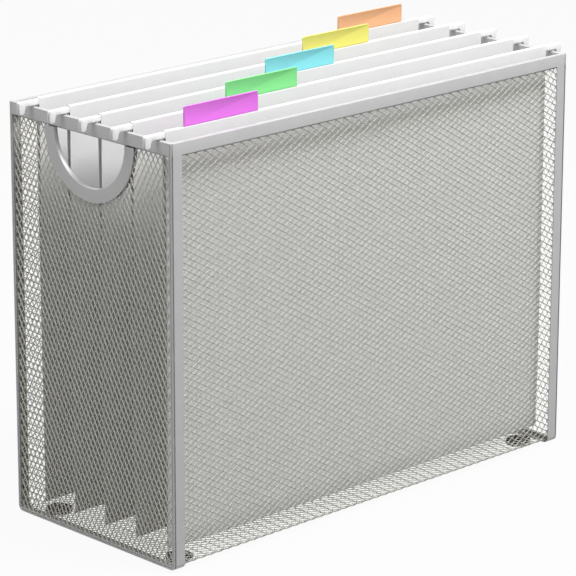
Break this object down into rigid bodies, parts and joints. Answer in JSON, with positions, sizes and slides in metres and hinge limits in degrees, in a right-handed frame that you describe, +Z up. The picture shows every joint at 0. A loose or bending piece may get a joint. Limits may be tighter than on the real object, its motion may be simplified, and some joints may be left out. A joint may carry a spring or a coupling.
{
  "type": "mesh hanging file box",
  "caption": "Open-top desktop file box of diamond mesh with folded steel edges and half-round end handles; its tabbed hanging folders slide along the end rails and open.",
  "frame": {"origin": "on the surface that the feet stand on, under the centre of the box", "axes": "+X along the long side to the right, +Y from front to rear, +Z up"},
  "size_m": [0.3338, 0.136, 0.2625],
  "materials": {
    "silver_steel": "satin",
    "folder_paper": "matte",
    "hook_white": "matte",
    "rod_steel": "satin",
    "foot_rubber": "matte",
    "tab_purple": "satin",
    "tab_green": "satin",
    "tab_cyan": "satin",
    "tab_yellow": "satin",
    "tab_orange": "satin"
  },
  "bodies": {
    "box": {"rim_front": "silver_steel", "rim_rear": "silver_steel", "rail_left": "silver_steel", "rail_right": "silver_steel", "mesh_front": "silver_steel", "mesh_floor": "silver_steel", "mesh_rear": "silver_steel", "end_frame_left": "silver_steel", "mesh_left": "silver_steel", "handle_trim_left": "silver_steel", "foot_front_left": "foot_rubber", "foot_rear_left": "foot_rubber", "end_frame_right": "silver_steel", "mesh_right": "silver_steel", "handle_trim_right": "silver_steel", "foot_front_right": "foot_rubber", "foot_rear_right": "foot_rubber"},
    "folder_1_rear": {"folder_1_rear_panel": "folder_paper", "folder_1_rear_rod": "rod_steel", "folder_1_rear_hooks": "hook_white"},
    "folder_1_front": {"folder_1_front_panel": "folder_paper", "folder_1_front_rod": "rod_steel", "folder_1_front_hooks": "hook_white", "folder_1_tab": "tab_purple"},
    "folder_2_rear": {"folder_2_rear_panel": "folder_paper", "folder_2_rear_rod": "rod_steel", "folder_2_rear_hooks": "hook_white"},
    "folder_2_front": {"folder_2_front_panel": "folder_paper", "folder_2_front_rod": "rod_steel", "folder_2_front_hooks": "hook_white", "folder_2_tab": "tab_green"},
    "folder_3_rear": {"folder_3_rear_panel": "folder_paper", "folder_3_rear_rod": "rod_steel", "folder_3_rear_hooks": "hook_white"},
    "folder_3_front": {"folder_3_front_panel": "folder_paper", "folder_3_front_rod": "rod_steel", "folder_3_front_hooks": "hook_white", "folder_3_tab": "tab_cyan"},
    "folder_4_rear": {"folder_4_rear_panel": "folder_paper", "folder_4_rear_rod": "rod_steel", "folder_4_rear_hooks": "hook_white"},
    "folder_4_front": {"folder_4_front_panel": "folder_paper", "folder_4_front_rod": "rod_steel", "folder_4_front_hooks": "hook_white", "folder_4_tab": "tab_yellow"},
    "folder_5_rear": {"folder_5_rear_panel": "folder_paper", "folder_5_rear_rod": "rod_steel", "folder_5_rear_hooks": "hook_white"},
    "folder_5_front": {"folder_5_front_panel": "folder_paper", "folder_5_front_rod": "rod_steel", "folder_5_front_hooks": "hook_white", "folder_5_tab": "tab_orange"}
  },
  "joints": [
    {"name": "folder_1_slide", "type": "slide", "parent": "box", "child": "folder_1_rear", "axis": [0, 1, 0], "range_m": [-0.006, 0.0232]},
    {"name": "folder_1_hinge", "type": "hinge", "parent": "folder_1_rear", "child": "folder_1_front", "pos_m": [0, -0.0573, 0.0112], "axis": [1, 0, 0], "range_deg": [0, 1.4]},
    {"name": "folder_2_slide", "type": "slide", "parent": "box", "child": "folder_2_rear", "axis": [0, 1, 0], "range_m": [-0.0232, 0.0232]},
    {"name": "folder_2_hinge", "type": "hinge", "parent": "folder_2_rear", "child": "folder_2_front", "pos_m": [0, -0.0309, 0.0112], "axis": [1, 0, 0], "range_deg": [0, 5]},
    {"name": "folder_3_slide", "type": "slide", "parent": "box", "child": "folder_3_rear", "axis": [0, 1, 0], "range_m": [-0.0232, 0.0232]},
    {"name": "folder_3_hinge", "type": "hinge", "parent": "folder_3_rear", "child": "folder_3_front", "pos_m": [0, -0.0045, 0.0112], "axis": [1, 0, 0], "range_deg": [0, 5]},
    {"name": "folder_4_slide", "type": "slide", "parent": "box", "child": "folder_4_rear", "axis": [0, 1, 0], "range_m": [-0.0232, 0.0232]},
    {"name": "folder_4_hinge", "type": "hinge", "parent": "folder_4_rear", "child": "folder_4_front", "pos_m": [0, 0.0219, 0.0112], "axis": [1, 0, 0], "range_deg": [0, 5]},
    {"name": "folder_5_slide", "type": "slide", "parent": "box", "child": "folder_5_rear", "axis": [0, 1, 0], "range_m": [-0.0232, 0.0148]},
    {"name": "folder_5_hinge", "type": "hinge", "parent": "folder_5_rear", "child": "folder_5_front", "pos_m": [0, 0.0483, 0.0112], "axis": [1, 0, 0], "range_deg": [0, 3.5]}
  ]
}
